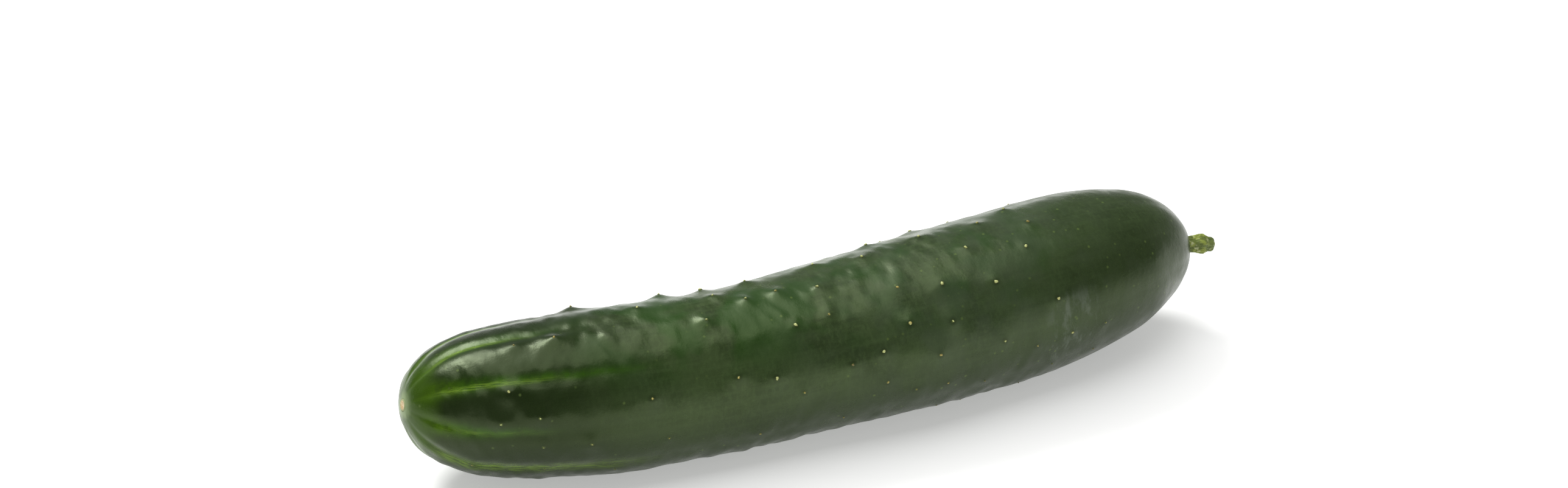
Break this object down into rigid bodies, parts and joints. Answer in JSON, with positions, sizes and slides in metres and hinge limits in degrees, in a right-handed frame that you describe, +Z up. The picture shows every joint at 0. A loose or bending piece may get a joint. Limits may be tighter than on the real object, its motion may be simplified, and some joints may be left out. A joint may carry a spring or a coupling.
{
  "type": "cucumber",
  "caption": "Slicing cucumber lying on its side: a gently bent dark green fruit with pale stripes, tubercles and spine stubs, a short stem and a corky blossom scar.",
  "frame": {"origin": "on the surface the cucumber lies on, under the middle of its overall length and width", "axes": "+X along the cucumber from the blossom end to the stem, +Y to the side that both ends are set back to, +Z up"},
  "size_m": [0.2332, 0.0518, 0.0469],
  "materials": {
    "skin": "waxy dark green skin, paler stripes at the blossom end",
    "stem": "matt yellow-green stalk with darker streaks",
    "cork": "dry pale corky tissue"
  },
  "bodies": {
    "root": {"fruit": "skin", "stem": "stem", "blossom_scar": "cork"}
  },
  "joints": []
}
